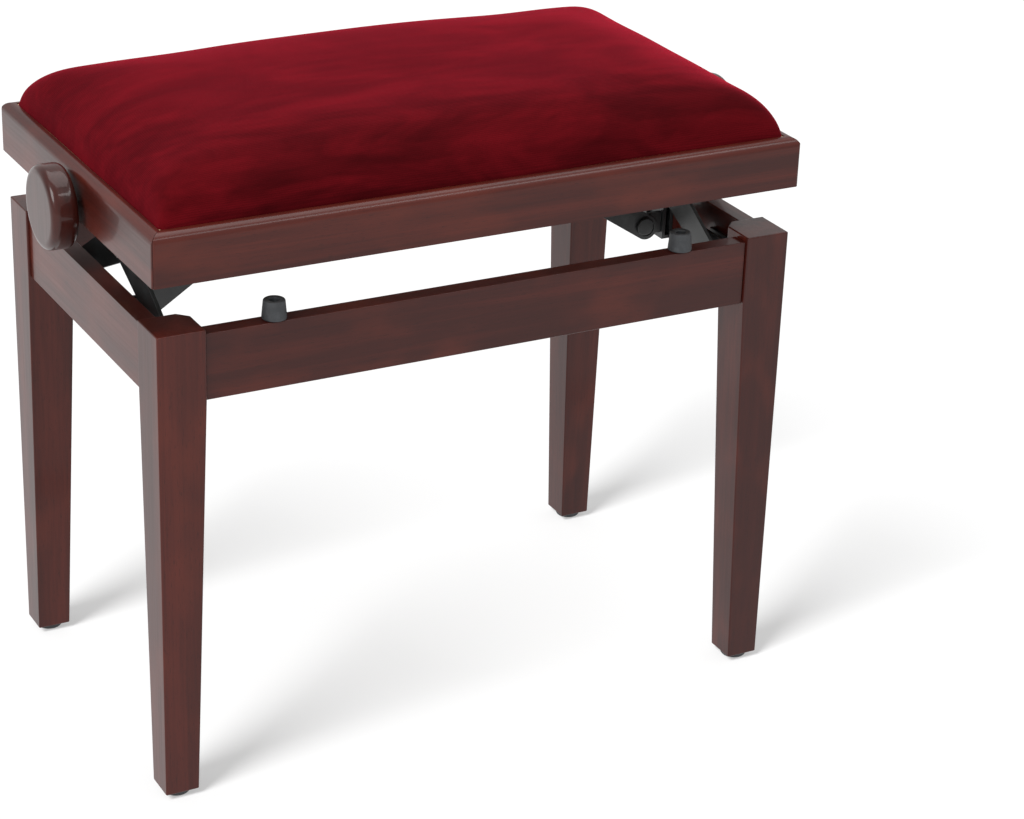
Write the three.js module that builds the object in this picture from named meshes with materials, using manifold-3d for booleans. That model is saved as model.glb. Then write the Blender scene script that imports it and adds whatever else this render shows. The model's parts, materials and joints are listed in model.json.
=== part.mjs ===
// Adjustable piano bench: a wooden base with four tapered legs, a padded seat in a mitred frame,
// and between them a steel scissor guide and two toggle links that a cross spindle raises.
// Millimetres. +Z is up, +X runs along the seat, the front is -Y. The origin is on the floor,
// under the middle of the bench. The bench is drawn partly raised, its bumpers clear of the seat.

import * as THREE from "three";
import { mergeVertices } from "three/addons/utils/BufferGeometryUtils.js";
import Module from "manifold-3d";

const wasm = await Module();
wasm.setup();

// ---- Driving dimensions ----------------------------------------------------------------------

const GAP = 0.3; // between two pieces that touch
const ROUND = 20; // facets on a small round piece
const PAST = 1; // how far a cutting body reaches past what it cuts

const seat = { length: 550, depth: 328, cornerRadius: 3, abovePosts: 39.5 };
const seatRail = { height: 40.5, thickness: 20, edgeRadius: 8, lip: 10, rebate: 10 };
const board = { thickness: 9 };
const cushion = { height: 45, cornerRadius: 20, bevel: 22, overhang: 0.5 };

const leg = { inset: 3.5, top: 38.6, foot: 27.5, clip: 8.5, clipHeight: 24 };
const glide = { radius: 11, height: 5, bevel: 1.5 };
const apron = { height: 53, thickness: 15, setback: 2.5, topZ: 388, belowLegTop: 4 };
const bumper = { footRadius: 9.7, topRadius: 8.5, height: 15, hole: 3, holeDepth: 5, fromMiddle: 175 };

const sheet = 3; // thickness of the steel arms and brackets
const arm = { rodSetIn: 24.194, endRadius: 10.5, highEdge: 17, highHalf: 52, steepBias: 0.25 * Math.PI / 180 };
const armPlay = 3; // between the outer arm, the inner arm and the brackets, along X
const armHeadRoom = 1; // more of it beside the brackets
const pivot = { setIn: 18.9, aboveFoot: 15, radius: 4, headRadius: 7.5, head: 2.6, openPlay: 1.8 };
const web = { fromMiddle: 58, width: 30, lip: 7 };
const channel = { height: 32, headRoom: 1.1, footAboveApron: 3, hingeLength: 43, slideFront: -14, endGap: 2.4 };
const slot = { beforeRod: 48.706, behindRod: 16.294, radius: 6.2, play: 1 };
const seatBracket = { frontMargin: 12, backMargin: 10, drop: 11 };

const spindle = { radius: 6, journal: 5, collarRadius: 8.5, collar: 4, aboveRailBottom: 9.5, holePlay: 1 };
const bearing = { halfWidth: 38, belowAxis: 20, aboveAxis: 17, corner: 12 };
const notch = { radius: 9 };
const knob = {
  radius: 33, thickness: 22, gapToRail: 5, rim: 8, rimSteps: 8, groove: 1.2,
  hub: 2, hubRadius: 13, hubFillet: 2, bore: 14,
};
const nut = { width: 24, depth: 24, height: 22, wall: 2 };
const link = {
  length: 165, endRadius: 10.5, thickness: 3, pinRadius: 3, headRadius: 6, head: 2,
  steepBias: 0.87 * Math.PI / 180, nutShift: 2.42,
};
const anchor = { x: 225, endRadius: 9.5, boltRadius: 3, headRadius: 7.6, head: 2.5, eyePlay: 4.2 };
const bracketBolt = { y: 12, radius: 2.5, headRadius: 5, head: 2.5, bite: 10 };

// ---- Sizes that follow ------------------------------------------------------------------------

const legTopZ = apron.topZ + apron.belowLegTop;
const apronBottomZ = apron.topZ - apron.height;
const seatZ = legTopZ + seat.abovePosts;
const seatTopZ = seatZ + seatRail.height;
const ledgeZ = seatTopZ - seatRail.rebate;
const boardZ = ledgeZ + GAP;
const cushionZ = boardZ + board.thickness + GAP;
const baseX = seat.length / 2 - leg.inset;
const baseY = seat.depth / 2 - leg.inset;
const apronInnerX = baseX - apron.setback - apron.thickness;
const apronInnerY = baseY - apron.setback - apron.thickness;
const postInnerY = baseY - leg.top;

// Steel planes, counted inwards from the side aprons.
const channelOuterX = apronInnerX - GAP;
const channelWidth = sheet + GAP + pivot.head + channel.headRoom + sheet;
const bracketX = channelOuterX - channelWidth + sheet / 2;
const outerArmX = bracketX - sheet - armPlay - armHeadRoom;
const innerArmX = outerArmX - sheet - armPlay;

// Scissor geometry: both arms are hinged in front and slide behind.
const pivotY = -(postInnerY - pivot.setIn);
const basePivotZ = apronBottomZ + channel.footAboveApron + pivot.aboveFoot;
const spindleZ = seatZ + spindle.aboveRailBottom;
const seatPivotZ = boardZ - pivot.aboveFoot - GAP;
const rodY = postInnerY - arm.rodSetIn;
const rise = seatPivotZ - basePivotZ;
const run = (rodY - pivotY + rise * Math.sin(arm.steepBias)) / Math.cos(arm.steepBias);
const armLength = Math.hypot(rise, run);
const tilt = Math.asin(rise / armLength) + arm.steepBias;
const rodZ = basePivotZ + armLength * Math.sin(tilt);
const slotFront = rodY - slot.beforeRod;
const slotBack = rodY + slot.behindRod;

// Toggle links: each hangs from its nut on the spindle and stands on an anchor bolt at the base.
const anchorZ = basePivotZ;
const linkAngle = Math.asin((spindleZ - anchorZ) / link.length) + link.steepBias;
const nutX = anchor.x - link.length * Math.cos(linkAngle) + link.nutShift;
const linkY = -(nut.depth / 2 + GAP + link.thickness / 2);

const SIDES = [["left", -1], ["right", 1]];
const ENDS = [["front", -1], ["back", 1]];

// ---- Materials --------------------------------------------------------------------------------

const paint = (color, roughness, metalness) => () =>
  new THREE.MeshStandardMaterial({ color, roughness, metalness });
const wood = paint(0x4a1d18, 0.22, 0);
const plywood = paint(0x9c7a52, 0.7, 0);
const velvet = paint(0x6d0a16, 0.95, 0);
const rubber = paint(0x2b2d2e, 0.8, 0);
const blackSteel = paint(0x1c1e1f, 0.45, 0.3);
const zincSteel = paint(0x8d9092, 0.35, 1);

// ---- Solids -----------------------------------------------------------------------------------

function toSolid(geometry) {
  const bare = geometry.index ? geometry.toNonIndexed() : geometry.clone();
  bare.deleteAttribute("normal");
  bare.deleteAttribute("uv");
  const merged = mergeVertices(bare, 1e-4);
  return new wasm.Manifold(new wasm.Mesh({
    numProp: 3,
    vertProperties: new Float32Array(merged.attributes.position.array),
    triVerts: new Uint32Array(merged.index.array),
  }));
}

function toGeometry(solid) {
  const mesh = solid.getMesh();
  const geometry = new THREE.BufferGeometry();
  geometry.setAttribute("position", new THREE.BufferAttribute(mesh.vertProperties, 3));
  geometry.setIndex(new THREE.BufferAttribute(mesh.triVerts, 1));
  return geometry;
}

const combine = (operation, first, others) =>
  toGeometry(others.reduce((solid, other) => solid[operation](toSolid(other)), toSolid(first)));
const cut = (first, ...others) => combine("subtract", first, others);
const join = (first, ...others) => combine("add", first, others);
const common = (first, ...others) => combine("intersect", first, others);

// A box that spans two values along each axis, given in either order.
function block(xs, ys, zs) {
  const size = [xs, ys, zs].map(([a, b]) => Math.abs(b - a));
  const middle = [xs, ys, zs].map(([a, b]) => (a + b) / 2);
  return new THREE.BoxGeometry(...size).translate(...middle);
}

const outline = (points) => new THREE.Shape(points.map(([u, v]) => new THREE.Vector2(u, v)));

function flatPlate(shape, z0, z1) {
  const settings = { depth: z1 - z0, bevelEnabled: false, curveSegments: 8 };
  return new THREE.ExtrudeGeometry(shape, settings).translate(0, 0, z0);
}

// Outline in Y and Z, spanning x0 to x1.
function sidePlate(shape, x0, x1) {
  const turn = new THREE.Matrix4().makeBasis(
    new THREE.Vector3(0, 1, 0), new THREE.Vector3(0, 0, 1), new THREE.Vector3(1, 0, 0));
  return flatPlate(shape, Math.min(x0, x1), Math.max(x0, x1)).applyMatrix4(turn);
}

// Outline in X and Z, spanning y0 to y1.
const frontPlate = (shape, y0, y1) => flatPlate(shape, -y1, -y0).rotateX(Math.PI / 2);

// A sheet-metal side plate centred on x.
const sheetPlate = (shape, x) => sidePlate(shape, x - sheet / 2, x + sheet / 2);

function lathe(profile, segments = ROUND) {
  const points = profile.map(([radius, along]) => new THREE.Vector2(radius, along));
  return new THREE.LatheGeometry(points, segments);
}

// Turned pieces: the profile is [radius, distance along the axis], from axis to axis.
const turnedBack = (profile) => lathe(profile);
const turnedUp = (profile) => lathe(profile).rotateX(Math.PI / 2);
const turnedRight = (profile) => lathe(profile).rotateZ(-Math.PI / 2);

function barAlongX(radius, xa, xb, y = 0, z = 0) {
  const [x0, x1] = [Math.min(xa, xb), Math.max(xa, xb)];
  return turnedRight([[0, x0], [radius, x0], [radius, x1], [0, x1]]).translate(0, y, z);
}

function barAlongY(radius, y0, y1, x = 0, z = 0) {
  return turnedBack([[0, y0], [radius, y0], [radius, y1], [0, y1]]).translate(x, 0, z);
}

// Cutter for a slot along Y, right through a plate near x.
function slotCutter(x, y0, y1, z, radius) {
  const shape = new THREE.Shape();
  shape.absarc(y0 + radius, z, radius, Math.PI / 2, 3 * Math.PI / 2);
  shape.absarc(y1 - radius, z, radius, -Math.PI / 2, Math.PI / 2);
  return sidePlate(shape, x - sheet, x + sheet);
}

function roundedRectangle(halfX, halfY, radius) {
  const shape = new THREE.Shape();
  const corners = [[1, 1], [-1, 1], [-1, -1], [1, -1]];
  corners.forEach(([sx, sy], quarter) => {
    const start = quarter * Math.PI / 2;
    shape.absarc(sx * (halfX - radius), sy * (halfY - radius), radius, start, start + Math.PI / 2);
  });
  return shape;
}

const bench = new THREE.Group();

function place(name, geometry, look, parent = bench) {
  const mesh = new THREE.Mesh(geometry, look());
  mesh.name = name;
  parent.add(mesh);
  return mesh;
}

// Places a piece drawn for the right-hand side; the left one is the same piece turned half round Z.
function placeTurned(name, geometry, look, side, y, z, parent = bench) {
  const mesh = place(name, geometry, look, parent);
  mesh.rotation.z = side < 0 ? Math.PI : 0;
  mesh.position.set(0, y, z);
  return mesh;
}

// ---- Wooden base ------------------------------------------------------------------------------

// Drawn for the back right corner, its outer corner on the local Z axis: the outer faces are
// upright, the inner faces taper below the aprons, and the inner top corner is clipped.
function legGeometry() {
  const footZ = glide.height + GAP;
  const taper = outline([
    [-leg.foot, footZ], [0, footZ], [0, legTopZ], [-leg.top, legTopZ], [-leg.top, apronBottomZ],
  ]);
  const far = leg.top + PAST;
  const near = leg.top - leg.clip;
  const corner = outline([[-far, -far], [-near, -far], [-near, -leg.top], [-leg.top, -near], [-far, -near]]);
  const clip = flatPlate(corner, legTopZ - leg.clipHeight, legTopZ + PAST);
  return cut(common(frontPlate(taper, -leg.top, 0), sidePlate(taper, -leg.top, 0)), clip);
}

function addLegs() {
  const turns = { back_right: 0, back_left: 1, front_left: 2, front_right: 3 };
  const glideProfile = [
    [0, 0], [glide.radius - glide.bevel, 0], [glide.radius, glide.bevel],
    [glide.radius, glide.height], [0, glide.height],
  ];
  for (const [end, sy] of ENDS) {
    for (const [side, sx] of SIDES) {
      const corner = `${end}_${side}`;
      const post = place(`leg_${corner}`, legGeometry(), wood);
      post.rotation.z = turns[corner] * Math.PI / 2;
      post.position.set(sx * baseX, sy * baseY, 0);
      const foot = place(`foot_glide_${corner}`, turnedUp(glideProfile), rubber);
      foot.position.set(sx * (baseX - leg.foot / 2), sy * (baseY - leg.foot / 2), 0);
    }
  }
}

function addAprons() {
  const halfX = baseX - leg.top - GAP;
  const halfY = postInnerY - GAP;
  const heights = [apronBottomZ, apron.topZ];
  for (const [end, sy] of ENDS) {
    const depths = [sy * apronInnerY, sy * (apronInnerY + apron.thickness)];
    place(`apron_${end}`, block([-halfX, halfX], depths, heights), wood);
  }
  for (const [side, sx] of SIDES) {
    const widths = [sx * apronInnerX, sx * (apronInnerX + apron.thickness)];
    const rail = block(widths, [-halfY, halfY], heights);
    place(`apron_${side}`, cut(rail, bracketBoltHole(sx)), wood);
  }
}

function addBumpers() {
  const { footRadius, topRadius, height, hole, holeDepth, fromMiddle } = bumper;
  const profile = [
    [0, 0], [footRadius, 0], [topRadius, height], [hole, height],
    [hole, height - holeDepth], [0, height - holeDepth],
  ];
  for (const [end, sy] of ENDS) {
    for (const [side, sx] of SIDES) {
      const mesh = place(`bumper_${end}_${side}`, turnedUp(profile), rubber);
      mesh.position.set(sx * fromMiddle, sy * (apronInnerY + apron.thickness / 2), apron.topZ + GAP);
    }
  }
}

// ---- Base brackets ----------------------------------------------------------------------------

// U-shaped channel on the inner face of a side apron: an upright ear, a floor and a flange.
function channelGeometry(sx, y0, y1) {
  const ear = channelOuterX - channelWidth;
  const footZ = apronBottomZ + channel.footAboveApron;
  const topZ = footZ + channel.height;
  const shape = outline([
    [ear, footZ], [channelOuterX, footZ], [channelOuterX, topZ], [channelOuterX - sheet, topZ],
    [channelOuterX - sheet, footZ + sheet], [ear + sheet, footZ + sheet], [ear + sheet, topZ], [ear, topZ],
  ].map(([x, z]) => [sx * x, z]));
  return frontPlate(shape, y0, y1);
}

function bracketBoltHole(sx) {
  const inner = bracketX - sheet;
  const outer = apronInnerX + bracketBolt.bite + GAP;
  return barAlongX(bracketBolt.radius + GAP, sx * inner, sx * outer, bracketBolt.y, basePivotZ);
}

function addBaseBrackets() {
  const back = postInnerY - channel.endGap;
  for (const [side, sx] of SIDES) {
    const hinge = channelGeometry(sx, -back, -back + channel.hingeLength);
    const across = [sx * (bracketX - sheet), sx * (bracketX + sheet)];
    const pivotHole = barAlongX(pivot.radius + GAP, ...across, pivotY, basePivotZ);
    place(`base_hinge_bracket_${side}`, cut(hinge, pivotHole), blackSteel);
    const slide = channelGeometry(sx, channel.slideFront, back);
    const rodSlot = slotCutter(sx * bracketX, slotFront, slotBack, basePivotZ, pivot.radius + slot.play);
    place(`base_slide_bracket_${side}`, cut(slide, rodSlot, bracketBoltHole(sx)), blackSteel);
    const headX = bracketX - sheet / 2 - GAP;
    const bolt = turnedRight([
      [0, headX - bracketBolt.head], [bracketBolt.headRadius, headX - bracketBolt.head],
      [bracketBolt.headRadius, headX], [bracketBolt.radius, headX],
      [bracketBolt.radius, apronInnerX + bracketBolt.bite], [0, apronInnerX + bracketBolt.bite],
    ]);
    placeTurned(`slide_bracket_bolt_${side}`, bolt, blackSteel, sx, bracketBolt.y, basePivotZ);
  }
}

// ---- Scissor frames ---------------------------------------------------------------------------

// Arm outline in its own frame: Y runs from the front pivot to the back one, Z is across it.
function armShape() {
  const { endRadius, highEdge, highHalf } = arm;
  const shape = new THREE.Shape();
  shape.absarc(0, 0, endRadius, Math.PI / 2, 3 * Math.PI / 2);
  shape.absarc(armLength, 0, endRadius, -Math.PI / 2, Math.PI / 2);
  shape.lineTo(armLength / 2 + highHalf, highEdge);
  shape.lineTo(armLength / 2 - highHalf, highEdge);
  return shape;
}

function armGeometry(x, frontHole) {
  const through = (radius, along) => barAlongX(radius, x - sheet, x + sheet, along, 0);
  const plain = pivot.radius + GAP;
  const holes = [through(frontHole, 0), through(plain, armLength / 2), through(plain, armLength)];
  return cut(sheetPlate(armShape(), x), ...holes);
}

// Cross plate between two arms, with a lip turned down along its edge towards the middle.
function webGeometry(halfLength, towardsBack) {
  const middle = armLength / 2;
  const near = middle + towardsBack * web.fromMiddle;
  const far = near + towardsBack * web.width;
  const plate = block([-halfLength, halfLength], [near, far], [-sheet / 2, sheet / 2]);
  const lip = block([-halfLength, halfLength], [near, near + towardsBack * sheet], [-web.lip, 0]);
  return join(plate, lip);
}

// Headed bolt along X through the plates from xInner to xOuter, a head at each end.
function headedBolt(xInner, xOuter) {
  const { radius, headRadius, head } = pivot;
  const [a, b] = [xInner - GAP, xOuter + GAP];
  return turnedRight([
    [0, a - head], [headRadius, a - head], [headRadius, a], [radius, a],
    [radius, b], [headRadius, b], [headRadius, b + head], [0, b + head],
  ]);
}

// Rod across the bench through two arms' sliding ends, a disc at each end outside the slots.
function rodProfile() {
  const { radius, headRadius, head } = pivot;
  const end = bracketX + sheet / 2 + GAP;
  const discEnd = end + head;
  return [
    [0, -discEnd], [headRadius, -discEnd], [headRadius, -end], [radius, -end],
    [radius, end], [headRadius, end], [headRadius, discEnd], [0, discEnd],
  ];
}

// The outer frame rises towards the back, hinged on the base in front.
function addOuterFrame() {
  const frame = new THREE.Group();
  frame.position.set(0, pivotY, basePivotZ);
  frame.rotation.x = tilt;
  bench.add(frame);
  for (const [side, sx] of SIDES) {
    place(`outer_arm_${side}`, armGeometry(sx * outerArmX, pivot.radius + GAP), blackSteel, frame);
    const hinge = headedBolt(outerArmX - sheet / 2, bracketX + sheet / 2);
    placeTurned(`base_pivot_bolt_${side}`, hinge, zincSteel, sx, 0, 0, frame);
    const middle = headedBolt(innerArmX - sheet / 2, outerArmX + sheet / 2);
    placeTurned(`centre_bolt_${side}`, middle, zincSteel, sx, armLength / 2, 0, frame);
  }
  place("outer_cross_plate", webGeometry(outerArmX - sheet / 2 - GAP, 1), blackSteel, frame);
  place("seat_slide_rod", turnedRight(rodProfile()), zincSteel).position.set(0, rodY, rodZ);
}

// The inner frame falls towards the back, hung on the seat in front.
function addInnerFrame() {
  const frame = new THREE.Group();
  frame.position.set(0, pivotY, rodZ);
  frame.rotation.x = -tilt;
  bench.add(frame);
  for (const [side, sx] of SIDES) {
    const openHole = pivot.radius + pivot.openPlay;
    place(`inner_arm_${side}`, armGeometry(sx * innerArmX, openHole), blackSteel, frame);
  }
  place("inner_cross_plate", webGeometry(innerArmX - sheet / 2 - GAP, -1), blackSteel, frame);
  place("base_slide_rod", turnedRight(rodProfile()), zincSteel).position.set(0, rodY, basePivotZ);
}

// ---- Seat brackets ----------------------------------------------------------------------------

// Angle under the seat board: a leg with the front hinge hole, the spindle hole and the rod slot.
function seatBracketGeometry(sx) {
  const innerX = bracketX - sheet / 2;
  const outerX = seat.length / 2 - seatRail.thickness - GAP * 2;
  const topZ = boardZ - GAP;
  const lowZ = seatPivotZ - seatBracket.drop;
  const shape = outline([
    [innerX, lowZ], [innerX + sheet, lowZ], [innerX + sheet, topZ - sheet], [outerX, topZ - sheet],
    [outerX, topZ], [innerX, topZ],
  ].map(([x, z]) => [sx * x, z]));
  const y0 = pivotY - seatBracket.frontMargin;
  const y1 = slotBack + seatBracket.backMargin;
  const hole = (radius, y, z) => barAlongX(radius, sx * (bracketX - sheet), sx * (bracketX + sheet), y, z);
  return cut(
    frontPlate(shape, y0, y1), hole(pivot.radius + GAP, pivotY, seatPivotZ),
    hole(spindle.radius + spindle.holePlay, 0, spindleZ),
    slotCutter(sx * bracketX, slotFront, slotBack, seatPivotZ, slot.radius));
}

function bearingGeometry(sx) {
  const { halfWidth, belowAxis, aboveAxis, corner } = bearing;
  const [low, high] = [spindleZ - belowAxis, spindleZ + aboveAxis];
  const shape = outline([
    [-halfWidth, low + corner], [corner - halfWidth, low], [halfWidth - corner, low],
    [halfWidth, low + corner], [halfWidth, high], [-halfWidth, high],
  ]);
  const outer = seat.length / 2 - seatRail.thickness - GAP;
  const plate = sidePlate(shape, sx * (outer - sheet), sx * outer);
  const across = [sx * (outer - 2 * sheet), sx * (outer + sheet)];
  const journalHole = barAlongX(spindle.journal + GAP, ...across, 0, spindleZ);
  return cut(plate, journalHole);
}

function addSeatBrackets() {
  for (const [side, sx] of SIDES) {
    place(`seat_bracket_${side}`, seatBracketGeometry(sx), blackSteel);
    const bolt = headedBolt(innerArmX - sheet / 2, bracketX + sheet / 2);
    placeTurned(`seat_pivot_bolt_${side}`, bolt, zincSteel, sx, pivotY, seatPivotZ);
    place(`spindle_bearing_${side}`, bearingGeometry(sx), blackSteel);
  }
}

// ---- Spindle drive ----------------------------------------------------------------------------

// Axis along X; plain journals run in the bearing plates and collars keep the spindle in place.
function spindleProfile() {
  const bearingInner = seat.length / 2 - seatRail.thickness - GAP - sheet;
  const collarEnd = bearingInner - GAP;
  const end = seat.length / 2 + knob.gapToRail + knob.bore - GAP;
  const half = [
    [spindle.radius, collarEnd - spindle.collar], [spindle.collarRadius, collarEnd - spindle.collar],
    [spindle.collarRadius, collarEnd], [spindle.journal, collarEnd], [spindle.journal, end], [0, end],
  ];
  const mirrored = half.map(([radius, x]) => [radius, -x]).reverse();
  return [...mirrored, ...half];
}

// Turned knob, drawn for the right: hub towards the rail, rounded rim, a shallow groove in the face.
function knobGeometry() {
  const { radius, rim, rimSteps, groove, hub, hubRadius, hubFillet, bore } = knob;
  const back = seat.length / 2 + knob.gapToRail;
  const front = back + knob.thickness;
  const boreRadius = spindle.journal + GAP;
  const profile = [
    [0, back + bore], [boreRadius, back + bore], [boreRadius, back - hub],
    [hubRadius, back - hub], [hubRadius + hubFillet, back],
  ];
  const halfRim = rim / 2;
  const halfThickness = knob.thickness / 2;
  for (let step = 0; step <= rimSteps; step += 1) {
    const angle = (step / rimSteps - 0.5) * Math.PI;
    const reach = radius - halfRim + halfRim * Math.cos(angle);
    profile.push([reach, back + halfThickness + halfThickness * Math.sin(angle)]);
  }
  const ring = radius - rim;
  profile.push([ring + groove, front], [ring, front - groove], [ring - groove, front], [0, front]);
  return turnedRight(profile);
}

function addSpindle() {
  place("spindle", turnedRight(spindleProfile()), zincSteel).position.set(0, 0, spindleZ);
  for (const [side, sx] of SIDES) {
    placeTurned(`knob_${side}`, knobGeometry(), wood, sx, 0, spindleZ);
  }
}

// Nut that runs along the spindle, with the pin in its front face that carries the toggle link.
function addNut(side, sx) {
  const pinEnd = -(spindle.radius + nut.wall);
  const [halfWidth, halfDepth, halfHeight] = [nut.width / 2, nut.depth / 2, nut.height / 2];
  const body = block([-halfWidth, halfWidth], [-halfDepth, halfDepth], [-halfHeight, halfHeight]);
  const thread = barAlongX(spindle.radius + GAP, -nut.width, nut.width);
  const pinHole = barAlongY(link.pinRadius + GAP, -nut.depth, pinEnd);
  place(`spindle_nut_${side}`, cut(body, thread, pinHole), zincSteel).position.set(sx * nutX, 0, spindleZ);

  const headBack = linkY - link.thickness / 2 - GAP;
  const pin = turnedBack([
    [0, headBack - link.head], [link.headRadius, headBack - link.head], [link.headRadius, headBack],
    [link.pinRadius, headBack], [link.pinRadius, pinEnd - GAP], [0, pinEnd - GAP],
  ]);
  place(`link_pin_${side}`, pin, zincSteel).position.set(sx * nutX, 0, spindleZ);
}

// Flat link that swings in the plane of the spindle; its lower eye has play round the anchor bolt.
function addToggleLink(side, sx) {
  const shape = new THREE.Shape();
  shape.absarc(0, 0, link.endRadius, Math.PI / 2, 3 * Math.PI / 2);
  shape.absarc(link.length, 0, link.endRadius, -Math.PI / 2, Math.PI / 2);
  const [front, back] = [-link.thickness / 2, link.thickness / 2];
  const pinEye = barAlongY(link.pinRadius + GAP, -link.thickness, link.thickness);
  const boltEye = barAlongY(anchor.boltRadius + anchor.eyePlay, -link.thickness, link.thickness, link.length);
  const plate = frontPlate(shape, front, back);
  const strap = place(`toggle_link_${side}`, cut(plate, pinEye, boltEye), blackSteel);
  strap.position.set(sx * nutX, linkY, spindleZ);
  strap.rotation.y = sx > 0 ? linkAngle : Math.PI - linkAngle;
}

// Plate that stands in from the slide bracket behind the link, and the headed bolt through both.
function addAnchor(side, sx) {
  const linkBack = linkY + link.thickness / 2;
  const [plateFront, plateBack] = [linkBack + GAP, linkBack + GAP + sheet];
  const { x, endRadius, boltRadius, headRadius, head } = anchor;
  const outerX = bracketX - sheet / 2 - GAP;
  const heights = [anchorZ - endRadius, anchorZ + endRadius];
  const arm = block([sx * x, sx * outerX], [plateFront, plateBack], heights);
  const eye = barAlongY(endRadius, plateFront, plateBack, sx * x, anchorZ);
  const hole = barAlongY(boltRadius + GAP, linkBack, plateBack + sheet, sx * x, anchorZ);
  place(`link_anchor_${side}`, cut(join(arm, eye), hole), blackSteel);

  const [a, b] = [linkY - link.thickness / 2 - GAP, plateBack + GAP];
  const bolt = turnedBack([
    [0, a - head], [headRadius, a - head], [headRadius, a], [boltRadius, a],
    [boltRadius, b], [headRadius, b], [headRadius, b + head], [0, b + head],
  ]);
  place(`anchor_bolt_${side}`, bolt, blackSteel).position.set(sx * x, 0, anchorZ);
}

function addToggles() {
  for (const [side, sx] of SIDES) {
    addNut(side, sx);
    addToggleLink(side, sx);
    addAnchor(side, sx);
  }
}

// ---- Seat -------------------------------------------------------------------------------------

// Section of a seat rail, [distance in from the outer face, height]: round outer top edge, and a
// rebate along the inside for the seat board.
function railSection() {
  const { height, thickness, edgeRadius, lip, rebate } = seatRail;
  const shape = new THREE.Shape();
  shape.moveTo(0, 0);
  shape.lineTo(thickness, 0);
  shape.lineTo(thickness, height - rebate);
  shape.lineTo(lip, height - rebate);
  shape.lineTo(lip, height);
  shape.absarc(edgeRadius, height - edgeRadius, edgeRadius, Math.PI / 2, Math.PI);
  return shape;
}

// One rail drawn as the front rail of a frame of the given length and depth, mitred at both ends.
function railGeometry(length, depth) {
  const halfX = length / 2;
  const halfY = depth / 2;
  const reach = seatRail.thickness + PAST;
  const section = sidePlate(railSection(), -halfX, halfX).translate(0, -halfY, seatZ);
  const corners = flatPlate(roundedRectangle(halfX, halfY, seat.cornerRadius), seatZ - PAST, seatTopZ + PAST);
  const gapAlong = GAP * Math.SQRT1_2;
  const miter = outline([
    [gapAlong - halfX - PAST, -halfY - PAST], [halfX + PAST - gapAlong, -halfY - PAST],
    [halfX - reach - gapAlong, reach - halfY], [gapAlong - halfX + reach, reach - halfY],
  ]);
  return common(section, corners, flatPlate(miter, seatZ - PAST, seatTopZ + PAST));
}

function addSeatFrame() {
  for (const [end, sy] of ENDS) {
    place(`seat_rail_${end}`, railGeometry(seat.length, seat.depth), wood).rotation.z = sy < 0 ? 0 : Math.PI;
  }
  const outer = seat.length / 2 + PAST;
  const inner = seat.length / 2 - seatRail.thickness - PAST;
  for (const [side, sx] of SIDES) {
    const rail = railGeometry(seat.depth, seat.length).rotateZ(sx * Math.PI / 2);
    const arch = barAlongX(notch.radius, sx * inner, sx * outer, 0, spindleZ);
    const mouth = block([sx * inner, sx * outer], [-notch.radius, notch.radius], [seatZ - PAST, spindleZ]);
    place(`seat_rail_${side}`, cut(rail, arch, mouth), wood);
  }
}

function addBoardAndCushion() {
  const halfX = seat.length / 2 - seatRail.lip - GAP;
  const halfY = seat.depth / 2 - seatRail.lip - GAP;
  place("seat_board", block([-halfX, halfX], [-halfY, halfY], [boardZ, boardZ + board.thickness]), plywood);

  const { height, bevel, cornerRadius, overhang } = cushion;
  const inset = bevel + overhang;
  const shape = roundedRectangle(halfX - inset, halfY - inset, cornerRadius);
  const settings = {
    depth: height, bevelThickness: bevel, bevelSize: bevel, bevelSegments: 6, curveSegments: 6,
  };
  const pillow = new THREE.ExtrudeGeometry(shape, settings).translate(0, 0, cushionZ - bevel);
  const above = block([-halfX, halfX], [-halfY, halfY], [cushionZ, cushionZ + height + bevel]);
  place("cushion", common(pillow, above), velvet);
}

addLegs();
addAprons();
addBumpers();
addBaseBrackets();
addOuterFrame();
addInnerFrame();
addSeatBrackets();
addSpindle();
addToggles();
addSeatFrame();
addBoardAndCushion();

export default bench;
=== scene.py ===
"""Adjustable piano bench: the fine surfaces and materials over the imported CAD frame.

Metres. X runs along the seat, the front faces -Y, and the floor is at Z = 0.
"""

import json
import math

import bmesh
import bpy
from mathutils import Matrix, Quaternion, Vector, noise

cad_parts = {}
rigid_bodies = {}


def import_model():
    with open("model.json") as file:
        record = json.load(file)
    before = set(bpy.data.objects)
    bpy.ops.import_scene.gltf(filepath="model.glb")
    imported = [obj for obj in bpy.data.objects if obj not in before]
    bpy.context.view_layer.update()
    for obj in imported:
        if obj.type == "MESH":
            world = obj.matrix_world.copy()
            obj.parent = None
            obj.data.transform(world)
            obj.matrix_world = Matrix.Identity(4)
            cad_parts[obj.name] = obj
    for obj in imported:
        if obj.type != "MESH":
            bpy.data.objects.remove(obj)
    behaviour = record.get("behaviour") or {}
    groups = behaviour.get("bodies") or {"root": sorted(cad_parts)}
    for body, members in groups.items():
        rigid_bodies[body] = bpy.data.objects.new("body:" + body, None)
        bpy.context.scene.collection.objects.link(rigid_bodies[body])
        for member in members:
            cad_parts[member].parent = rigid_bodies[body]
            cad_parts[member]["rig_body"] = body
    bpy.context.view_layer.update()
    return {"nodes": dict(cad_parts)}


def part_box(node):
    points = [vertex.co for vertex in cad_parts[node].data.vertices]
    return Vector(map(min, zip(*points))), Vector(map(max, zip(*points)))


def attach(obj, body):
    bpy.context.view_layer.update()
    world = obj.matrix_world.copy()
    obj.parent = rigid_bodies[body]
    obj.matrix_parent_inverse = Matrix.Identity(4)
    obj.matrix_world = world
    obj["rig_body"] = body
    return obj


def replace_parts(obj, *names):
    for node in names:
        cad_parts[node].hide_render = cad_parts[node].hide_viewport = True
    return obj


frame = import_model()
nodes = frame["nodes"]

MM = 0.001
X_AXIS, Y_AXIS, Z_AXIS = range(3)
SIDES = (("left", -1), ("right", 1))
ENDS = (("front", -1), ("back", 1))


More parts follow.
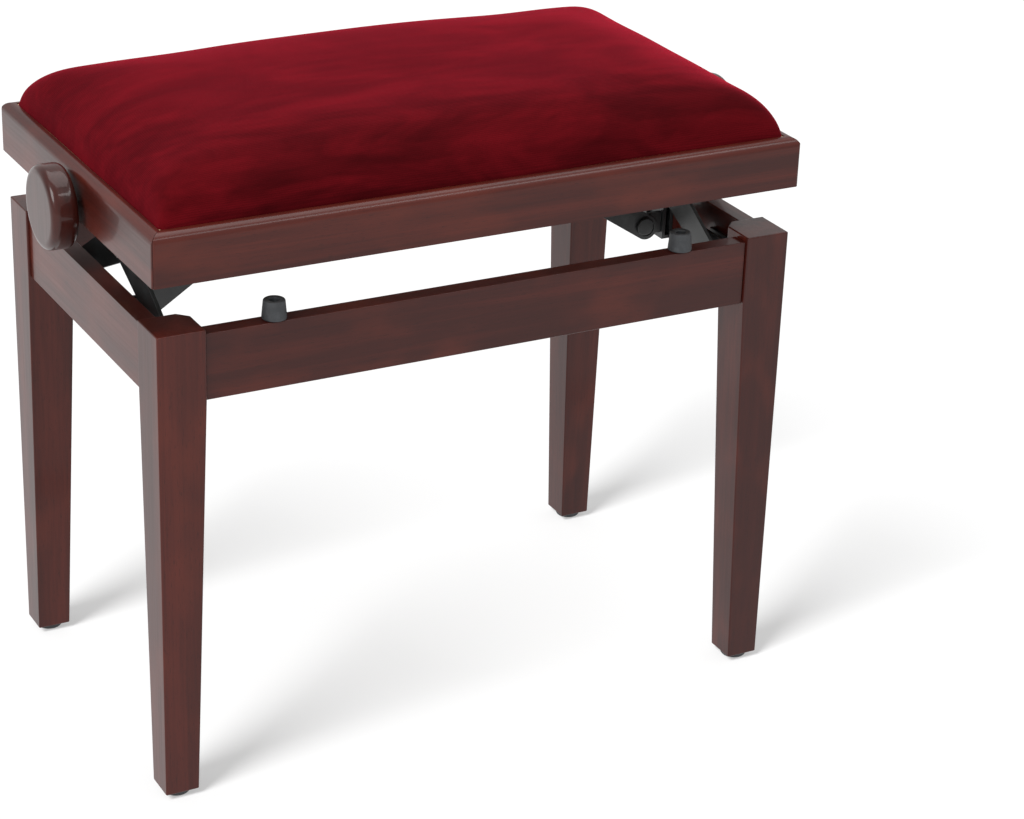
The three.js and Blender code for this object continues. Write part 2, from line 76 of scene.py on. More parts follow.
# ---- Node helpers ---------------------------------------------------------------------------

WAVE_SCALE = math.pi / 10  # the wave texture's scale for one band to the metre


class Material:
    """A node material with a Principled shader, and short calls for the nodes that it uses."""

    def __init__(self, name, roughness, **settings):
        self.material = bpy.data.materials.new(name)
        self.material.use_nodes = True
        self.tree = self.material.node_tree
        self.shader = self.tree.nodes["Principled BSDF"]
        self.shader.inputs["Roughness"].default_value = roughness
        for socket, value in settings.items():
            self.shader.inputs[socket.replace("_", " ")].default_value = value

    def node(self, kind, **settings):
        made = self.tree.nodes.new(kind)
        for name, value in settings.items():
            setattr(made, name, value)
        return made

    def link(self, output, target):
        self.tree.links.new(output, target)

    def place(self, scale=(1, 1, 1), kind="Object"):
        """The surface's own coordinates, in metres, times a scale along each axis."""
        mapping = self.node("ShaderNodeMapping")
        mapping.inputs["Scale"].default_value = scale
        self.link(self.node("ShaderNodeTexCoord").outputs[kind], mapping.inputs["Vector"])
        return mapping.outputs["Vector"]

    def noise(self, scale=1.0, detail=3.0, roughness=0.5, distortion=0.0, stretch=(1, 1, 1)):
        """Solid noise; the scale counts its lumps per metre, and stretch does so along each axis."""
        made = self.node("ShaderNodeTexNoise")
        made.inputs["Scale"].default_value = scale
        made.inputs["Detail"].default_value = detail
        made.inputs["Roughness"].default_value = roughness
        made.inputs["Distortion"].default_value = distortion
        self.link(self.place(stretch), made.inputs["Vector"])
        return made.outputs["Fac"]

    def waves(self, vector, per_metre, direction, profile):
        """Parallel bands, so many to the metre."""
        made = self.node(
            "ShaderNodeTexWave", wave_type="BANDS", bands_direction=direction, wave_profile=profile,
        )
        made.inputs["Scale"].default_value = per_metre * WAVE_SCALE
        self.link(vector, made.inputs["Vector"])
        return made.outputs["Fac"]

    def spread(self, value, low, high, to_low=0.0, to_high=1.0):
        """A value between low and high, eased into the range from to_low to to_high."""
        made = self.node("ShaderNodeMapRange", interpolation_type="SMOOTHSTEP")
        limits = {"From Min": low, "From Max": high, "To Min": to_low, "To Max": to_high}
        for socket, number in limits.items():
            made.inputs[socket].default_value = number
        self.link(value, made.inputs["Value"])
        return made.outputs["Result"]

    def add(self, first, second):
        made = self.node("ShaderNodeMath", operation="ADD")
        self.link(first, made.inputs[0])
        self.link(second, made.inputs[1])
        return made.outputs["Value"]

    def mix(self, factor, low, high):
        """Two colours mixed by a factor; each may be a colour or another node's output."""
        made = self.node("ShaderNodeMix", data_type="RGBA")
        sockets = [socket for socket in made.inputs if socket.type == "RGBA"]
        self.link(factor, made.inputs["Factor"])
        for socket, value in zip(sockets, (low, high)):
            if isinstance(value, tuple):
                socket.default_value = (*value, 1.0)
            else:
                self.link(value, socket)
        return next(socket for socket in made.outputs if socket.type == "RGBA")

    def bump(self, height, strength, distance, below=None):
        made = self.node("ShaderNodeBump")
        made.inputs["Strength"].default_value = strength
        made.inputs["Distance"].default_value = distance
        self.link(height, made.inputs["Height"])
        if below is not None:
            self.link(below, made.inputs["Normal"])
        return made.outputs["Normal"]

    def finish(self, color, roughness=None, normal=None):
        self.link(color, self.shader.inputs["Base Color"])
        if roughness is not None:
            self.link(roughness, self.shader.inputs["Roughness"])
        if normal is not None:
            self.link(normal, self.shader.inputs["Normal"])
        return self.material


# ---- Materials ------------------------------------------------------------------------------


def lacquered_wood(name, axis, gloss=0.24, depth=1.0):
    """Close-grained hardwood stained mahogany under gloss lacquer, its grain along one axis."""
    made = Material(
        name, 0.3, Coat_Weight=gloss, Coat_Roughness=0.05, Coat_IOR=1.45, Specular_IOR_Level=0.2,
    )

    def shade(*color):
        return tuple(channel * depth for channel in color)

    def along(lengthwise, across):
        return [lengthwise if i == axis else across for i in range(3)]

    dark, light = shade(0.038, 0.0062, 0.0042), shade(0.074, 0.0115, 0.0070)
    streak, pore = shade(0.024, 0.0042, 0.0034), shade(0.014, 0.0030, 0.0026)
    glow = shade(0.110, 0.0175, 0.0086)
    figure = made.noise(detail=4, roughness=0.6, distortion=0.7, stretch=along(1.6, 34))
    streaks = made.noise(detail=3, roughness=0.65, stretch=along(9, 420))
    cloud = made.noise(detail=2, roughness=0.5, stretch=along(14, 26))
    flecks = made.noise(detail=1, stretch=along(150, 1300))
    ripple = made.noise(scale=170, detail=1)
    stain = made.mix(made.spread(figure, 0.36, 0.66), dark, light)
    stain = made.mix(made.spread(streaks, 0.38, 0.72, 0.0, 0.36), stain, streak)
    stain = made.mix(made.spread(cloud, 0.45, 0.75, 0.0, 0.45), stain, glow)
    stain = made.mix(made.spread(flecks, 0.62, 0.74, 0.0, 0.4), stain, pore)
    roughness = made.spread(streaks, 0.3, 0.7, 0.28, 0.34)
    surface = made.bump(flecks, 0.06, 0.08 * MM)
    surface = made.bump(ripple, 0.10, 0.25 * MM, surface)
    made.link(surface, made.shader.inputs["Coat Normal"])
    return made.finish(stain, roughness, surface)


CORDS_PER_METRE = 450


def velvet():
    """Crimson corded velvet: dark face on, lighter where the pile is brushed or seen from the side, with
    painted shade in the grooves between the cords.
    """
    made = Material(
        "velvet", 0.9, Sheen_Weight=0.5, Sheen_Roughness=0.36, Sheen_Tint=(1.0, 0.02, 0.07, 1.0),
        Specular_IOR_Level=0.04,
    )
    # shade is a darker red: painted shade in the grooves between the cords, and also the pile's fine
    # random flecks
    deep, bright, shade = (0.036, 0.0006, 0.0016), (0.102, 0.0022, 0.0048), (0.024, 0.0005, 0.0012)
    cords = made.waves(made.place(kind="UV"), CORDS_PER_METRE, "Y", "SIN")
    brushed = made.noise(detail=5, roughness=0.6, distortion=0.8, stretch=(9, 20, 20))
    strokes = made.noise(detail=3, roughness=0.55, stretch=(16, 90, 90))
    pile = made.noise(scale=2600, detail=2)
    broad = made.spread(brushed, 0.35, 0.68, 0.0, 0.7)
    fine = made.spread(strokes, 0.35, 0.7, 0.0, 0.3)
    color = made.mix(made.add(broad, fine), deep, bright)
    # painted shade: the cord grooves, where the cord bump is low, are darkened towards the shade colour
    color = made.mix(made.spread(cords, 0.0, 0.5, 0.22, 0.0), color, shade)
    color = made.mix(made.spread(pile, 0.4, 0.7, 0.0, 0.25), color, shade)
    surface = made.bump(cords, 0.25, 0.25 * MM)
    surface = made.bump(pile, 0.3, 0.2 * MM, surface)
    return made.finish(color, normal=surface)


def powder_coat():
    """Black powder-coated steel: satin, finely pebbled, with a few rubbed patches."""
    made = Material("black_steel", 0.4, Specular_IOR_Level=0.5, Coat_Weight=0.15, Coat_Roughness=0.25)
    black, worn = (0.014, 0.0155, 0.016), (0.034, 0.037, 0.038)
    pebble = made.noise(scale=1100, detail=2)
    rubbed = made.noise(scale=45, detail=5, roughness=0.7)
    color = made.mix(made.spread(rubbed, 0.45, 0.75), black, worn)
    roughness = made.spread(rubbed, 0.3, 0.7, 0.36, 0.5)
    return made.finish(color, roughness, made.bump(pebble, 0.25, 0.1 * MM))


def zinc_plate():
    """Bright zinc-plated steel, with turning marks and a faint yellow-blue passivation."""
    made = Material("zinc_steel", 0.35, Metallic=1.0)
    bluish, yellowish = (0.30, 0.31, 0.33), (0.48, 0.47, 0.43)
    cloud = made.noise(scale=60, detail=4, roughness=0.65)
    lines = made.noise(detail=2, stretch=(1500, 60, 60))
    color = made.mix(made.spread(cloud, 0.35, 0.65), bluish, yellowish)
    roughness = made.spread(cloud, 0.3, 0.7, 0.28, 0.46)
    return made.finish(color, roughness, made.bump(lines, 0.15, 0.06 * MM))


def moulded_rubber():
    """Dark grey moulded rubber, matt, with a dusty bloom."""
    made = Material("rubber", 0.62, Specular_IOR_Level=0.45)
    clean, dusty = (0.026, 0.028, 0.031), (0.046, 0.049, 0.053)
    bloom = made.noise(scale=190, detail=4, roughness=0.7)
    grit = made.noise(scale=1900, detail=1)
    color = made.mix(made.spread(bloom, 0.4, 0.7), clean, dusty)
    roughness = made.spread(bloom, 0.3, 0.7, 0.5, 0.72)
    return made.finish(color, roughness, made.bump(grit, 0.2, 0.08 * MM))


PLIES_PER_METRE = 286.5


def plywood():
    """Birch plywood: long grain on the faces and thin layers along the edges."""
    made = Material("plywood", 0.68, Specular_IOR_Level=0.3)
    pale, tan, glue = (0.50, 0.34, 0.19), (0.35, 0.21, 0.10), (0.20, 0.11, 0.05)
    grain = made.noise(detail=4, roughness=0.6, distortion=0.4, stretch=(3, 160, 160))
    layers = made.waves(made.place(), PLIES_PER_METRE, "Z", "TRI")
    color = made.mix(made.spread(grain, 0.35, 0.7), pale, tan)
    color = made.mix(made.spread(layers, 0.5, 0.8, 0.0, 0.35), color, glue)
    return made.finish(color, normal=made.bump(grain, 0.3, 0.2 * MM))


def pale_floor():
    """White studio paper, lit a little from within so that it stays white in the soft light."""
    made = Material(
        "studio_floor", 0.9, Specular_IOR_Level=0.1, Emission_Strength=0.42,
        Emission_Color=(1.0, 1.0, 1.0, 1.0),
    )
    paper = made.noise(scale=3, detail=2)
    return made.finish(made.mix(made.spread(paper, 0.3, 0.7), (0.30, 0.30, 0.30), (0.31, 0.31, 0.31)))


WOOD = {axis: lacquered_wood(f"mahogany_{'xyz'[axis]}", axis) for axis in (X_AXIS, Y_AXIS, Z_AXIS)}
KNOB_WOOD = lacquered_wood("mahogany_turned", Z_AXIS, gloss=0.42, depth=0.6)
VELVET = velvet()
STEEL = powder_coat()
ZINC = zinc_plate()
RUBBER = moulded_rubber()
PLYWOOD = plywood()


# ---- Mesh helpers ---------------------------------------------------------------------------

SMOOTH_ANGLE = math.radians(35)  # sharper edges stay crisp, and are rounded over
FLAT_ANGLE = math.radians(0.5)
SAME_POINT = 0.01 * MM
CORNER_SHARE = 0.45  # how much of a side of a profile one rounded corner may take
ON_AXIS = 0.0001 * MM
LATHE_STEPS, SMALL_STEPS, SCREW_STEPS, KNOB_STEPS = 72, 48, 24, 96


def solid(name, shape, material, body):
    """Makes an object of a bmesh, smooth with crisp corners, that rides on a body."""
    mesh = bpy.data.meshes.new(name)
    shape.to_mesh(mesh)
    shape.free()
    for face in mesh.polygons:
        face.use_smooth = True
    mesh.set_sharp_from_angle(angle=SMOOTH_ANGLE)
    mesh.materials.append(material)
    made = bpy.data.objects.new(name, mesh)
    bpy.context.scene.collection.objects.link(made)
    weighted = made.modifiers.new("face_weighted_normals", "WEIGHTED_NORMAL")
    weighted.keep_sharp = True
    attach(made, body)
    return made


def at_mitre(edge):
    """True for an edge of an upright face at 45 degrees in plan, as on a mitred end."""
    return any(
        abs(abs(face.normal.x) - abs(face.normal.y)) < 0.02 and abs(face.normal.z) < 0.3
        for face in edge.link_faces
    )


def eased(node, width, material, mitred=False, steps=3):
    """Puts a CAD node's shape in its place with its sharp edges rounded over."""
    source = nodes[node]
    shape = bmesh.new()
    shape.from_mesh(source.data)
    bmesh.ops.remove_doubles(shape, verts=shape.verts, dist=SAME_POINT)
    bmesh.ops.dissolve_limit(shape, angle_limit=FLAT_ANGLE, verts=shape.verts, edges=shape.edges)
    corners = [
        edge for edge in shape.edges
        if len(edge.link_faces) == 2 and edge.calc_face_angle() > SMOOTH_ANGLE
        and not (mitred and at_mitre(edge))
    ]
    bmesh.ops.bevel(
        shape, geom=corners, offset=width, offset_type="OFFSET", segments=steps, profile=0.5,
        affect="EDGES", clamp_overlap=True,
    )
    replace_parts(solid(f"{node}_eased", shape, material, source["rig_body"]), node)


def rounded(profile, radius, steps=4):
    """A turned profile with each inner corner rounded, as far as its two sides allow."""
    points = [Vector(p) for p in profile]
    result = [points[0]]
    for before, corner, after in zip(points, points[1:], points[2:]):
        shorter = min((corner - before).length, (after - corner).length)
        reach = min(radius, shorter * CORNER_SHARE)
        start = corner + (before - corner).normalized() * reach
        end = corner + (after - corner).normalized() * reach
        for i in range(steps + 1):
            t = i / steps
            result.append(start.lerp(corner, t).lerp(corner.lerp(end, t), t))
    return [*result, points[-1]]


def turned_shape(profile, axis, centre, steps=LATHE_STEPS):
    """A lathed bmesh: profile points are (radius, distance along the axis from the centre)."""
    shape = bmesh.new()
    forward, first, second = (
        Vector([float(i == (axis + k) % 3) for i in range(3)]) for k in range(3)
    )
    angles = [2 * math.pi * i / steps for i in range(steps)]
    outwards = [first * math.cos(angle) + second * math.sin(angle) for angle in angles]
    rings = []
    for radius, distance in profile:
        middle = Vector(centre) + forward * distance
        spokes = [Vector()] if radius < ON_AXIS else [outward * radius for outward in outwards]
        rings.append([shape.verts.new(middle + spoke) for spoke in spokes])
    for low, high in zip(rings, rings[1:]):
        for i in range(steps):
            j = (i + 1) % steps
            corners = [low[i % len(low)], low[j % len(low)], high[j % len(high)], high[i % len(high)]]
            unique = list(dict.fromkeys(corners))
            if len(unique) > 2:
                shape.faces.new(unique)
    bmesh.ops.recalc_face_normals(shape, faces=shape.faces)
    return shape


# ---- Wood -----------------------------------------------------------------------------------

LEG_EASE, RAIL_EASE, BOARD_EASE = 1.1 * MM, 0.9 * MM, 0.5 * MM
KNOB_HUB_RADIUS, KNOB_HUB_STEP, KNOB_ROUNDING = 13 * MM, 2 * MM, 7 * MM


def add_base_wood():
    for end, _ in ENDS:
        eased(f"apron_{end}", RAIL_EASE, WOOD[X_AXIS])
        for side, _ in SIDES:
            eased(f"leg_{end}_{side}", LEG_EASE, WOOD[Z_AXIS])
    for side, _ in SIDES:
        eased(f"apron_{side}", RAIL_EASE, WOOD[Y_AXIS])


def add_seat_board():
    eased("seat_board", BOARD_EASE, PLYWOOD, steps=2)


def add_seat_rails():
    for end, _ in ENDS:
        eased(f"seat_rail_{end}", RAIL_EASE, WOOD[X_AXIS], mitred=True)
    for side, _ in SIDES:
        eased(f"seat_rail_{side}", RAIL_EASE, WOOD[Y_AXIS], mitred=True)


def add_knobs():
    """Turned knobs: a flat face, a broad rim rounded over at both edges, a small hub behind."""
    for side, sign in SIDES:
        node = f"knob_{side}"
        low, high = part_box(node)
        radius = (high.z - low.z) / 2
        half = (high.x - low.x) / 2
        back = -half + KNOB_HUB_STEP
        profile = [
            (0, -half), (KNOB_HUB_RADIUS, -half), (KNOB_HUB_RADIUS, back), (radius, back),
            (radius, half), (0, half),
        ]
        profile = [(r, sign * x) for r, x in rounded(profile, KNOB_ROUNDING, steps=10)]
        shape = turned_shape(profile, X_AXIS, (low + high) / 2, KNOB_STEPS)
        turned = solid(f"{node}_turned", shape, KNOB_WOOD, "spindle_with_knobs")
        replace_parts(turned, node)


# ---- Cushion --------------------------------------------------------------------------------

CUSHION_FRAMES = 20
CUSHION_PRESSURE = 4.0
CUSHION_REACH = 4 * MM  # as far as the cloth may move a point
CUSHION_EVENING = 40  # rounds of sharing that movement with the neighbours
CLOTH_STIFFNESS, CLOTH_BENDING = 20, 4
GRIP_START, GRIP_DEPTH = 1 * MM, 8 * MM  # held up to the first height, free after the second more
PAD_COLUMNS, PAD_ROWS = 112, 70
PAD_CROWDING = 0.35  # how much finer the grid is near the edges
PAD_CORNER = 5 * MM
PAD_SNUG = 0.7 * MM  # how far the cover reaches past the CAD pad, to the rails
PAD_EDGE = 44 * MM  # how far in the sides round over
PAD_CROWN = 8 * MM
PAD_SPARE = 1 * MM
PAD_SQUARENESS = 2.5
RUFFLE_HEIGHT, RUFFLES_PER_METRE = 0.7, (9, 14, 6)  # the height in millimetres
SEAM_ANGLE = math.radians(55)
SEAM_HEIGHT = 0.1 * MM


def crowded(t):
    """A place from -1 to 1 moved towards its end, so that even steps come closer together there."""
    return t * (1 + PAD_CROWDING - PAD_CROWDING * t * t)


def pad_plan(u, v, half):
    """A point of the pad's plan: a rectangle with round corners."""
    x, y = crowded(u) * half.x, crowded(v) * half.y
    past_x, past_y = abs(x) - (half.x - PAD_CORNER), abs(y) - (half.y - PAD_CORNER)
    if past_x > 0 and past_y > 0:
        pull = max(past_x, past_y) / math.hypot(past_x, past_y)
        x = math.copysign(half.x - PAD_CORNER + past_x * pull, x)
        y = math.copysign(half.y - PAD_CORNER + past_y * pull, y)
    return x, y


def pad_height(u, v, half):
    """Height over the seam: steep sides that round over into a crowned top, lower at the corners."""
    height = 2 * half.z - PAD_CROWN - PAD_SPARE + PAD_CROWN * (1 - u * u) * (1 - v * v)
    for t, side in ((u, half.x), (v, half.y)):
        inwards = side - abs(crowded(t) * side)
        outwards = 1 - min(inwards / PAD_EDGE, 1)
        height *= (1 - outwards ** PAD_SQUARENESS) ** (1 / PAD_SQUARENESS)
    return height


def cushion_form():
    """The stuffed pad before it swells: a closed grid, flat below, that fills the CAD pad's box."""
    low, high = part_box("cushion")
    middle = (low + high) / 2
    half = (high - low) / 2 + Vector((PAD_SNUG, PAD_SNUG, 0))
    shape = bmesh.new()
    tops, bottoms = {}, {}
    for i in range(PAD_COLUMNS + 1):
        for j in range(PAD_ROWS + 1):
            u, v = 2 * i / PAD_COLUMNS - 1, 2 * j / PAD_ROWS - 1
            x, y = pad_plan(u, v, half)
            x, y, rise = middle.x + x, middle.y + y, pad_height(u, v, half)
            tops[i, j] = shape.verts.new((x, y, low.z + rise))
            at_seam = i in (0, PAD_COLUMNS) or j in (0, PAD_ROWS)
            bottoms[i, j] = tops[i, j] if at_seam else shape.verts.new((x, y, low.z))
    for i in range(PAD_COLUMNS):
        for j in range(PAD_ROWS):
            corners = ((i, j), (i + 1, j), (i + 1, j + 1), (i, j + 1))
            shape.faces.new([tops[c] for c in corners])
            shape.faces.new([bottoms[c] for c in reversed(corners)])
    creases = shape.edges.layers.float.new("crease_edge")
    for edge in shape.edges:
        if all(vertex.co.z - low.z < SEAM_HEIGHT for vertex in edge.verts):
            edge[creases] = 1
    mesh = bpy.data.meshes.new("cushion_pad")
    shape.to_mesh(mesh)
    shape.free()
    made = bpy.data.objects.new("cushion_pad", mesh)
    bpy.context.scene.collection.objects.link(made)
    return made


def bake_modifiers(target):
    """Replaces an object's mesh by what its modifiers make of it."""
    graph = bpy.context.evaluated_depsgraph_get()
    result = bpy.data.meshes.new_from_object(target.evaluated_get(graph))
    target.modifiers.clear()
    target.data = result


def evened(moves, mesh):
    """Shares each point's movement with its neighbours, as the foam under the cover does."""
    beside = [[] for _ in moves]
    for edge in mesh.edges:
        a, b = edge.vertices
        beside[a].append(b)
        beside[b].append(a)
    for _ in range(CUSHION_EVENING):
        moves = [
            (move + sum((moves[k] for k in near), Vector())) / (len(near) + 1)
            for move, near in zip(moves, beside)
        ]
    return moves


def swell(target, low, high):
    """Blows the pad up a little as cloth, held along its seam line and below."""
    start = [vertex.co.copy() for vertex in target.data.vertices]
    cloth = target.modifiers.new("cloth", "CLOTH")
    cloth.settings.use_pressure = True
    cloth.settings.uniform_pressure_force = CUSHION_PRESSURE
    cloth.settings.effector_weights.gravity = 0
    cloth.settings.vertex_group_mass = "held"
    for kind in ("tension", "compression", "shear"):
        setattr(cloth.settings, f"{kind}_stiffness", CLOTH_STIFFNESS)
    cloth.settings.bending_stiffness = CLOTH_BENDING
    cloth.point_cache.frame_start = 1
    cloth.point_cache.frame_end = CUSHION_FRAMES
    scene = bpy.context.scene
    for step in range(1, CUSHION_FRAMES + 1):
        scene.frame_set(step)
    bake_modifiers(target)
    scene.frame_set(1)
    moves = [vertex.co - before for vertex, before in zip(target.data.vertices, start)]
    moves = [move * (CUSHION_REACH / max(move.length, CUSHION_REACH)) for move in moves]
    for vertex, before, move in zip(target.data.vertices, start, evened(moves, target.data)):
        vertex.co = before + move
        vertex.co.z = max(vertex.co.z, low.z)
        for axis in (X_AXIS, Y_AXIS):
            vertex.co[axis] = min(max(vertex.co[axis], low[axis] - PAD_SNUG), high[axis] + PAD_SNUG)


def unfold(mesh, top):
    """Cloth coordinates: the plan on top, carried on down the sides by the distance below it."""
    layer = mesh.uv_layers.new(name="cloth")
    normals = [vertex.normal.copy() for vertex in mesh.vertices]
    for loop in mesh.loops:
        place = mesh.vertices[loop.vertex_index].co
        side = normals[loop.vertex_index].xy * (top - place.z)
        layer.data[loop.index].uv = (place.x + side.x, place.y + side.y)


def ruffle(mesh):
    """The faint unevenness of a hand-stuffed pad."""
    outward = [vertex.normal.copy() for vertex in mesh.vertices]
    for vertex, normal in zip(mesh.vertices, outward):
        wave = noise.noise(vertex.co * Vector(RUFFLES_PER_METRE))
        vertex.co += normal * wave * RUFFLE_HEIGHT * MM


def add_grip(pad, low):
    """Weights: held at the seam and below, loose higher up."""
    held, loose = (pad.vertex_groups.new(name=name) for name in ("held", "loose"))
    for vertex in pad.data.vertices:
        grip = 1 - min(max((vertex.co.z - low.z - GRIP_START) / GRIP_DEPTH, 0), 1)
        held.add([vertex.index], grip, "REPLACE")
        loose.add([vertex.index], 1 - grip, "REPLACE")


def add_cushion():
    """The velvet pad: stuffed form, swollen as cloth, smoothed, and made finer once."""
    low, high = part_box("cushion")
    pad = cushion_form()
    add_grip(pad, low)
    swell(pad, low, high)
    smooth = pad.modifiers.new("even", "SMOOTH")
    smooth.vertex_group = "loose"
    smooth.factor = 0.5
    smooth.iterations = 8
    finer = pad.modifiers.new("finer", "SUBSURF")
    finer.levels = finer.render_levels = 1
    bake_modifiers(pad)
    ruffle(pad.data)
    pad.data.set_sharp_from_angle(angle=SEAM_ANGLE)
    unfold(pad.data, high.z)
    pad.data.materials.clear()
    pad.data.materials.append(VELVET)
    for face in pad.data.polygons:
        face.use_smooth = True
        face.material_index = 0
    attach(pad, "seat")
    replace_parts(pad, "cushion")


# ---- Rubber ---------------------------------------------------------------------------------

BUMPER_ROUNDING, GLIDE_ROUNDING, BUMPER_HOLE_LIP = 1.3 * MM, 1.2 * MM, 0.8 * MM
BUMPER_HOLE = 0.42
BUMPER_OUTSIDE = [(0, 0), (1, 0), (0.97, 0.25), (0.86, 1), (1.25 * BUMPER_HOLE, 1)]
BUMPER_DIMPLE = [(BUMPER_HOLE, 0.65), (0, 0.65)]
GLIDE_PROFILE = [(0, 0), (0.86, 0), (1, 0.35), (1, 1), (0, 1)]


def moulded(node, shares, rounding):
    """A turned rubber foot; its profile is in shares of the node's radius and height."""
    low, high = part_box(node)
    radius = (high.x - low.x) / 2
    height = high.z - low.z
    profile = [(radius * across, height * up) for across, up in shares]
    centre = ((low.x + high.x) / 2, (low.y + high.y) / 2, low.z)
    shape = turned_shape(rounded(profile, rounding), Z_AXIS, centre)
    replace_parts(solid(f"{node}_moulded", shape, RUBBER, "base"), node)


def add_bumpers():
    """Tapered rubber bumpers with a dimple in the top."""
    for end, _ in ENDS:
        for side, _ in SIDES:
            low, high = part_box(f"bumper_{end}_{side}")
            lip = (BUMPER_HOLE, 1 - BUMPER_HOLE_LIP / (high.z - low.z))
            moulded(f"bumper_{end}_{side}", [*BUMPER_OUTSIDE, lip, *BUMPER_DIMPLE], BUMPER_ROUNDING)


def add_glides():
    for end, _ in ENDS:
        for side, _ in SIDES:
            moulded(f"foot_glide_{end}_{side}", GLIDE_PROFILE, GLIDE_ROUNDING)


# ---- Steel ----------------------------------------------------------------------------------

SHEET_EASE, NUT_EASE, BOLT_EASE, BLACK_BOLT_EASE, PIN_EASE = 0.4 * MM, 0.8 * MM, 1.1 * MM, 1 * MM, 0.8 * MM
PLATES = (
    "base_hinge_bracket", "base_slide_bracket", "outer_arm", "inner_arm", "seat_bracket",
    "spindle_bearing", "toggle_link", "link_anchor",
)


def add_sheet_steel():
    names = [f"{kind}_{side}" for side, _ in SIDES for kind in PLATES]
    for node in ["outer_cross_plate", "inner_cross_plate", *names]:
        eased(node, SHEET_EASE, STEEL, steps=2)
    for side, _ in SIDES:
        eased(f"spindle_nut_{side}", NUT_EASE, ZINC, steps=2)


def section_of(node, axis):
    """A turned CAD node's own profile: its radius at each place along the axis where it changes."""
    low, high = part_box(node)
    centre = (low + high) / 2
    found = {}
    for vertex in nodes[node].data.vertices:
        offset = vertex.co - centre
        distance = round(offset[axis], 5)
        offset[axis] = 0
        found.setdefault(distance, set()).add(round(offset.length, 4))
    profile = [(0, min(found))]
    outer = 0
    for distance in sorted(found):
        radii = sorted(radius for radius in found[distance] if radius > ON_AXIS)
        if outer and abs(radii[0] - outer) > abs(radii[-1] - outer):
            radii.reverse()
        profile += [(radius, distance) for radius in radii]
        outer = radii[-1] if radii else outer
    profile.append((0, max(found)))
    return profile, centre


def turned_node(node, axis, rounding, material):
    """A turned CAD node again, round instead of faceted, with its corners eased."""
    profile, centre = section_of(node, axis)
    shape = turned_shape(rounded(profile, rounding), axis, centre, SMALL_STEPS)
    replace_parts(solid(f"{node}_turned", shape, material, nodes[node]["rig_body"]), node)


def add_bolts_and_rods():
    for side, _ in SIDES:
        for kind in ("base_pivot_bolt", "centre_bolt", "seat_pivot_bolt"):
            turned_node(f"{kind}_{side}", X_AXIS, BOLT_EASE, ZINC)
        turned_node(f"slide_bracket_bolt_{side}", X_AXIS, PIN_EASE, STEEL)
        turned_node(f"anchor_bolt_{side}", Y_AXIS, BLACK_BOLT_EASE, STEEL)
        turned_node(f"link_pin_{side}", Y_AXIS, PIN_EASE, ZINC)
    for node in ("base_slide_rod", "seat_slide_rod"):
        turned_node(node, X_AXIS, PIN_EASE, ZINC)


THREAD_LEAD = 6 * MM
THREAD_STARTS = 2
THREAD_DEPTH = 1.1 * MM
THREAD_RADIUS = 6 * MM
THREAD_REACH = 68 * MM  # to each side of its nut
THREAD_ROWS, THREAD_STEPS = 6, 20
SPINDLE_CORE = THREAD_RADIUS - 1.5 * THREAD_DEPTH
SPINDLE_EASE = 0.5 * MM


def thread_shape(centre, start, end, sense):
    """A rod along X with a rounded screw thread; sense is 1 right-handed, -1 left-handed."""
    shape = bmesh.new()
    pitch = THREAD_LEAD / THREAD_STARTS
    rows = round((end - start) / (pitch / THREAD_ROWS))
    grid = []
    for i in range(rows + 1):
        x = start + (end - start) * i / rows
        fade = min(1.0, (x - start) / pitch, (end - x) / pitch)
        ring = []
        for k in range(THREAD_STEPS):
            angle = 2 * math.pi * k / THREAD_STEPS
            phase = 2 * math.pi * x / pitch - sense * THREAD_STARTS * angle
            reach = THREAD_RADIUS - THREAD_DEPTH * fade * (0.5 - 0.5 * math.cos(phase))
            place = Vector((x, reach * math.cos(angle), reach * math.sin(angle)))
            ring.append(shape.verts.new(centre + place))
        grid.append(ring)
    for low, high in zip(grid, grid[1:]):
        for k in range(THREAD_STEPS):
            j = (k + 1) % THREAD_STEPS
            shape.faces.new([low[k], low[j], high[j], high[k]])
    shape.faces.new(grid[0])
    shape.faces.new(grid[-1])
    bmesh.ops.recalc_face_normals(shape, faces=shape.faces)
    return shape


def add_spindle():
    """The spindle: collars and plain journals at its ends, and opposite threads where the nuts run."""
    profile, centre = section_of("spindle", X_AXIS)
    low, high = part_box("spindle_nut_right")
    nut = ((low + high) / 2).x
    start, end = nut - THREAD_REACH, nut + THREAD_REACH
    first = min(i for i, (_, distance) in enumerate(profile) if distance > 0)
    profile[first:first] = [
        (THREAD_RADIUS, -end), (SPINDLE_CORE, -end), (SPINDLE_CORE, -start), (THREAD_RADIUS, -start),
        (THREAD_RADIUS, start), (SPINDLE_CORE, start), (SPINDLE_CORE, end), (THREAD_RADIUS, end),
    ]
    shape = turned_shape(rounded(profile, SPINDLE_EASE), X_AXIS, centre, SMALL_STEPS)
    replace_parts(solid("spindle_turned", shape, ZINC, "spindle_with_knobs"), "spindle")
    for side, sign in SIDES:
        ends = sorted((sign * start, sign * end))
        shape = thread_shape(centre, *ends, sign)
        solid(f"spindle_thread_{side}", shape, ZINC, "spindle_with_knobs")


BEARING_SCREW_RADIUS, BEARING_SCREW_EDGE = 3.2 * MM, 7 * MM
BRACKET_SCREW_RADIUS, BRACKET_SHEET = 2.6 * MM, 3 * MM
BRACKET_SCREW_PLACES = (0.12, 0.75, 0.93)  # shares of the bracket's length, clear of its bolts
SCREW_HEIGHT = 0.55  # of the head's radius
SCREW_PROFILE = (  # shares of the radius and of the height: recess, crown, rim
    (0, 0.45), (0.34, 0.55), (0.36, 1), (0.72, 0.9), (1, 0.3), (1, 0), (0, 0),
)


def pan_head(name, centre, axis, sign, radius):
    """A recessed pan-head screw in the seat whose head stands out from the centre along an axis."""
    height = radius * SCREW_HEIGHT
    profile = [(radius * across, sign * height * up) for across, up in SCREW_PROFILE]
    shape = turned_shape(rounded(profile, radius * 0.12, 2), axis, centre, SCREW_STEPS)
    solid(name, shape, STEEL, "seat")


